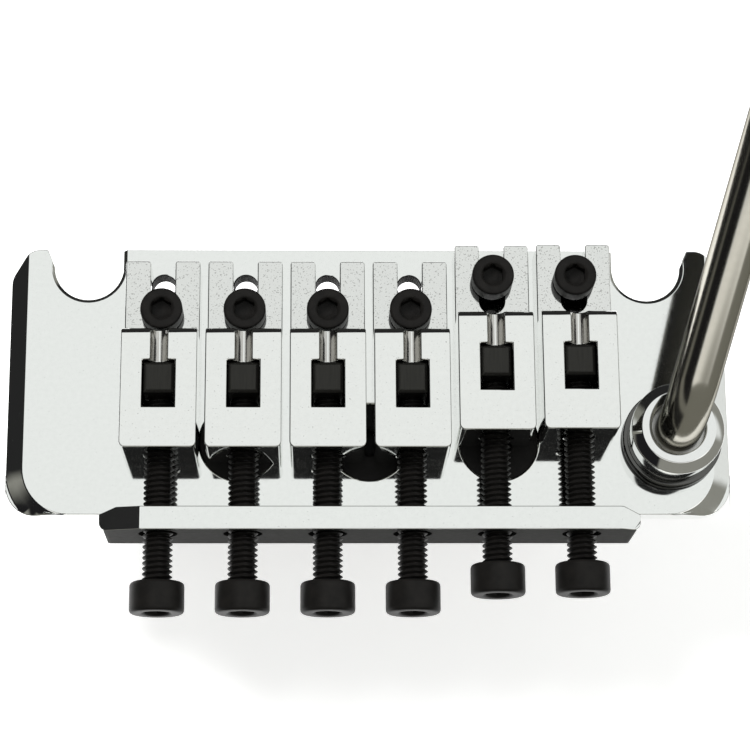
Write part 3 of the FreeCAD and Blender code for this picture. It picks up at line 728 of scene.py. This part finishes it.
# %% Countersunk screws
def countersunk_screws():
    """The three screws of the block in one piece, the outer two at the ends of their box."""
    low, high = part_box("block_screws")
    middle = centre("block_screws")
    length = (high.z - low.z) / MM
    radius, pitch, thread_depth = 2.5, 0.8, 0.49
    head_radius, socket_rim, half_key, key_depth = 5.1, 1.95, 1.5, 2.2
    taper = head_radius - radius
    core_end = -length + 0.5
    head = softened([(0, core_end), (radius, core_end), (radius, -taper), (head_radius, -0.08), (head_radius, 0),
                     (socket_rim, 0), (half_key, -0.25, 1, 0)], 0.12)
    head += [(half_key, -key_depth, 1, 0), (0, -key_depth - 0.4, 0, 0)]
    thread = thread_stations(radius, -taper, -length, pitch, thread_depth)
    reach = (high.x - low.x) / 2 - head_radius * MM
    whole = bmesh.new()
    for side in (-1, 0, 1):
        place = Matrix.Translation((middle.x + side * reach, middle.y, high.z))
        for part in (turned("head", head, BLACK_OXIDE, place),
                     turned("shank", thread, BLACK_OXIDE, place, around=32, pitch=pitch,
                            thread_depth=thread_depth)):
            whole.from_mesh(part.data)
            bpy.data.objects.remove(part)
    mesh = bpy.data.meshes.new("countersunk_screws")
    whole.to_mesh(mesh)
    whole.free()
    mesh.materials.append(BLACK_OXIDE)
    return hand_over(new_piece("countersunk_screws", mesh), "block_screws")


print("countersunk screws:", len(countersunk_screws().data.polygons), "faces")

# %% [markdown]
# ## The arm's fittings
# The socket is a flanged sleeve through the plate, with a nut and a washer below. Two nylon bushes line it, and
# the collar nut on top keeps the arm's snap ring in. Each is a ring about the arm's axis, so its profile is
# closed: its last point is its first again. The socket stands in the collar's shade and mirrors its dark underside,
# so its chrome is painted darker than the collar's, as painted shade and a painted reflection.


# %% Socket, bushes, washer, nut, collar and ring
ARM_AXIS = centre("collar_nut")
ON_ARM_AXIS = Matrix.Translation((ARM_AXIS.x, ARM_AXIS.y, 0))


def heights(node):
    """Where a solid's box starts and ends along Z, in millimetres."""
    low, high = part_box(node)
    return low.z / MM, high.z / MM


def outer_radius(node):
    """Half the width of a solid's box along X, in millimetres."""
    low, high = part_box(node)
    return (high.x - low.x) / 2 / MM


def ring(node, name, corners, material, edge=0.1):
    """A closed profile turned about the arm's axis."""
    start = ((corners[0][0] + corners[-1][0]) / 2, (corners[0][1] + corners[-1][1]) / 2, *corners[0][2:])
    stations = softened([start, *corners, start], edge)
    return hand_over(turned(name, stations, material, ON_ARM_AXIS, around=128), node)


def plain_ring(node, name, bore, material, edge=0.1, key=0):
    """A straight-walled ring, or with a key of 1 a six-sided nut, whose flats face along Y."""
    low, high = heights(node)
    outer = (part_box(node)[1].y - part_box(node)[0].y) / 2 / MM if key else outer_radius(node)
    return ring(node, name, [(bore, low), (outer, low, key, 0), (outer, high, key, 0), (bore, high)], material, edge)


socket_low, socket_high = heights("arm_socket")
flange = outer_radius("arm_socket")
ring("arm_socket", "turned_socket", [
    (LEAD_HOLE, socket_low), (SOCKET_RADIUS, socket_low), (SOCKET_RADIUS, 0), (flange, 0), (flange, FLANGE_HEIGHT),
    (SOCKET_RADIUS, FLANGE_HEIGHT), (SOCKET_RADIUS, socket_high), (BUSH_RADIUS, socket_high),
    (BUSH_RADIUS, socket_low + 1), (LEAD_HOLE, socket_low + 1)], SOCKET_CHROME_PAINTED_SHADE, edge=0.18)
plain_ring("arm_bush_lower", "nylon_bush_lower", BUSH_BORE, NYLON_PAINTED_SHADE)
plain_ring("arm_bush_upper", "nylon_bush_upper", BUSH_BORE, NYLON_PAINTED_SHADE)
plain_ring("socket_washer", "plain_washer", SOCKET_NUT_BORE, NUT_STEEL, edge=0.15)
plain_ring("socket_nut", "hexagon_nut", SOCKET_NUT_BORE, NUT_STEEL, edge=0.3, key=1)
plain_ring("arm_ring", "snap_ring", ARM_RADIUS - RING_GROOVE_DEPTH, NUT_STEEL)
collar_low, collar_high = heights("collar_nut")
collar_radius = outer_radius("collar_nut")
under_roof = collar_high - 0.8
ring("collar_nut", "turned_collar", [
    (SOCKET_NUT_BORE, collar_low), (collar_radius, collar_low), (collar_radius, collar_high - 0.9),
    (collar_radius - 1.25, collar_high), (LEAD_HOLE, collar_high), (LEAD_HOLE, under_roof),
    (SOCKET_NUT_BORE, under_roof)], COLLAR_CHROME, edge=0.14)
print("arm axis at", round(ARM_AXIS.x / MM, 2), round(ARM_AXIS.y / MM, 2), "mm")

# %% [markdown]
# ## The arm
# The arm is one 6 mm bar of polished steel, bent twice. Its line is drawn as straight runs and arcs in an upright
# plane, and a second small tree sweeps a circle along it. The circle's radius rides on the line's points, so the
# same sweep also turns the groove of the snap ring and rounds the tip.


# %% Sweep the arm
def sweep_tree():
    """Sweep a circle along a line, as wide as the line's swell says."""
    tree, given = new_tree("swept_bar", [("Around", "Int"), ("Material", "Material")])
    line = tree.node("GeometryNodeMeshToCurve", None, {"Mesh": given.out("Geometry")})
    section = tree.node("GeometryNodeCurvePrimitiveCircle", {"mode": "RADIUS"},
                        {"Resolution": given.out("Around"), "Radius": 1.0})
    swell = tree.node("GeometryNodeInputNamedAttribute", {"data_type": "FLOAT"}, {"Name": "swell"})
    bar = tree.node("GeometryNodeCurveToMesh", None,
                    {"Curve": line, "Profile Curve": section, "Scale": swell, "Fill Caps": True})
    return finish_tree(tree, bar, given)


def arm_line(start, riser, bend_radius, slope, run, knee_radius, knee_turn, handle):
    """Points of the arm's line as (distance from the axis, height), in millimetres. It starts upright."""
    points = [(0.0, start), (0.0, riser)]
    facing = 90.0
    degrees_per_step = 2

    def turn_down_to(aim, radius):
        nonlocal facing
        steps = round((facing - aim) / degrees_per_step)
        away, height = points[-1]
        start_angle = math.radians(facing)
        for step in range(1, steps + 1):
            angle = math.radians(facing + (aim - facing) * step / steps)
            points.append((away + radius * (math.sin(start_angle) - math.sin(angle)),
                           height + radius * (math.cos(angle) - math.cos(start_angle))))
        facing = aim

    def go(distance):
        away, height = points[-1]
        points.append((away + distance * math.cos(math.radians(facing)),
                       height + distance * math.sin(math.radians(facing))))

    turn_down_to(slope, bend_radius)
    go(run)
    turn_down_to(slope - knee_turn, knee_radius)
    go(handle)
    return points


def arm_stations():
    """The arm's line as (distance from the axis, height, radius), with the snap ring's groove and a round tip."""
    points = arm_line(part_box("arm")[0].z / MM, **ARM_BENDS)
    ring_low, ring_high = heights("arm_ring")
    groove_radius = ARM_RADIUS - RING_GROOVE_DEPTH
    stations = [(*points[0], ARM_RADIUS), (0.0, ring_low, ARM_RADIUS), (0.0, ring_low, groove_radius),
                (0.0, ring_high, groove_radius), (0.0, ring_high, ARM_RADIUS)]
    stations += [(away, height, ARM_RADIUS) for away, height in points[1:-1]]
    (back_away, back_height), (tip_away, tip_height) = points[-2], points[-1]
    length = math.hypot(tip_away - back_away, tip_height - back_height)
    tip_steps = 8
    for step in range(tip_steps + 1):
        angle = math.radians(90 * step / tip_steps)
        share = (length - ARM_TIP_RADIUS * (1 - math.sin(angle))) / length
        stations.append((back_away + (tip_away - back_away) * share, back_height + (tip_height - back_height) * share,
                         ARM_RADIUS - ARM_TIP_RADIUS * (1 - math.cos(angle))))
    return stations


def arm_piece():
    """The bar swept along its line, which stands upright over the arm's heading."""
    heading = math.radians(ARM_HEADING)
    stations = arm_stations()
    mesh = line_mesh("polished_arm", [(away * math.cos(heading), away * math.sin(heading), height)
                                      for away, height, _ in stations], swell=[radius * MM for *_, radius in stations])
    mesh.transform(ON_ARM_AXIS)
    piece = new_piece("polished_arm", mesh)
    sweep = piece.modifiers.new("sweep", "NODES")
    sweep.node_group = sweep_tree()
    set_inputs(sweep, Around=72, Material=ARM_STEEL)
    as_mesh(piece)
    smooth(piece.data, sharp_angle=40)
    return hand_over(piece, "arm")


print("arm:", [round(side / MM, 1) for side in arm_piece().dimensions], "mm, its solid:",
      [round((high - low) / MM, 1) for low, high in zip(*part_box("arm"))], "mm")

# %% [markdown]
# ## The studio
# A mirror shows what stands round it, so the light is drawn as directions: a wide white ceiling over the bridge,
# brightest along its rear edge, a pale wall low on the right, black cloth on the left and in front, a dark table
# below, an olive-grey room behind, and above the lens the dark shape of the photographer. Seen straight on, the
# background is plain white.


# %% World
def sky():
    """Draw the room as colours of directions, from large areas to small ones that cover them."""
    world = bpy.data.worlds.new("studio")
    bpy.context.scene.world = world
    world.use_nodes = True
    world.node_tree.nodes.clear()
    tree = Tree(world.node_tree)
    toward = tree.node("ShaderNodeSeparateXYZ", None, {0: tree.node("ShaderNodeTexCoord").out("Generated")})
    right, front, up = (toward.out(axis) for axis in "XYZ")

    def disc(centre_right, centre_front, half_width, half_depth, soft):
        """A soft-edged ellipse overhead, 1 inside and 0 outside."""
        across = (right - centre_right) / half_width
        along = (front - centre_front) / half_depth
        return tree.ramp(across * across + along * along, 1 + soft, 1 - soft) * tree.ramp(up, 0.2, 0.4)

    cloth_left = tree.ramp(up, 0.34, 0.44) * tree.ramp(right, -0.38, -0.46)
    cloth_front = tree.ramp(front, 0.0, 0.2) * tree.ramp(right, 0.75, 0.6)
    cloth_low = tree.ramp(up, 0.18, 0.10) * tree.ramp(right, -0.3, -0.5)
    table = tree.ramp(up, 0.04, -0.04) * tree.ramp(right, 0.35, 0.15) * tree.ramp(front, -0.05, 0.12)
    wall = tree.ramp(right, 0.80, 0.90) * tree.ramp(up, 0.10, 0.20) * tree.ramp(front, -0.1, 0.1)
    ceiling = (tree.ramp(right, -0.46, -0.38) * tree.ramp(front, -0.54, -0.48)
               * tree.ramp(up + right.math("MAXIMUM", 0) * 0.42, 0.76, 0.82))
    rear_edge = ceiling * tree.ramp(front, -0.27, -0.33)
    photographer = disc(centre_right=0.0, centre_front=-0.205, half_width=0.34, half_depth=0.12, soft=0.25)
    room = colour(0.26, 0.257, 0.228)
    for area, shown in (
            (cloth_left, colour(0.012, 0.012, 0.013)), (cloth_front, colour(0.02, 0.02, 0.02)),
            (cloth_low, colour(0.02, 0.02, 0.02)), (table, colour(0.03, 0.03, 0.028)),
            (wall, colour(0.80, 0.81, 0.79)), (ceiling, colour(0.90, 0.915, 0.90)),
            (rear_edge, colour(1.3, 1.29, 1.25)), (photographer, colour(0.012, 0.012, 0.012))):
        room = tree.tint(area, room, shown)
    rays = tree.node("ShaderNodeLightPath")
    seen = tree.tint(rays.out("Is Camera Ray"), room, colour(1, 1, 1))
    tree.node("ShaderNodeOutputWorld", None,
              {"Surface": tree.node("ShaderNodeBackground", None, {"Color": seen, "Strength": 1.0})})


sky()

# %% [markdown]
# The bridge stands on a sheet of white paper on a darker table. The sheet keeps the bridge's shadow and is otherwise
# as white as the background, also where the metal mirrors it. Metal that faces sideways looks past the sheet and
# shows the table. One large soft lamp from the front left gives the shadow its side; it doesn't show in the chrome,
# because the drawn room already does.


# %% Floor and lamp
def floor():
    """The sheet of paper. It glows only for the camera and the mirrors, so it stays white but casts no light."""
    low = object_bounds()[0].z - 0.3 * MM
    left, right, rear, front = -0.19, 0.115, -0.09, 0.062
    glow = 0.55
    mesh = bpy.data.meshes.new("floor")
    mesh.from_pydata([(left, rear, low), (right, rear, low), (right, front, low), (left, front, low)], [],
                     [(0, 1, 2, 3)])
    sheet = new_piece("floor", mesh)
    material, tree, place = new_finish("floor_paper")
    rays = tree.node("ShaderNodeLightPath")
    seen = rays.out("Is Camera Ray") + rays.out("Is Glossy Ray") + rays.out("Is Transmission Ray")
    fibre = noise(tree, place, 2 * MM, 3)
    paper = tree.node("ShaderNodeBsdfDiffuse", None,
                      {"Color": tree.tint(fibre, colour(0.86, 0.86, 0.86), colour(0.90, 0.90, 0.90))})
    lift = tree.node("ShaderNodeEmission", None, {"Color": colour(1, 1, 1), "Strength": seen * glow})
    both = tree.node("ShaderNodeAddShader", None, {0: paper, 1: lift})
    tree.node("ShaderNodeOutputMaterial", None, {"Surface": both})
    mesh.materials.append(material)
    sheet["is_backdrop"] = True


def lamp(name, place, aim, size, watts):
    """A soft round lamp that no mirror shows."""
    data = bpy.data.lights.new(name, "AREA")
    data.shape = "DISK"
    data.size = size
    data.energy = watts
    light = bpy.data.objects.new(name, data)
    light.location = place
    light.rotation_euler = (Vector(aim) - Vector(place)).to_track_quat("-Z", "Y").to_euler()
    light.visible_glossy = False
    bpy.context.scene.collection.objects.link(light)


floor()
lamp("key", place=(-0.25, 0.28, 0.62), aim=(0, -0.01, 0), size=0.28, watts=7.0)
bpy.context.scene.view_settings.view_transform = "Standard"
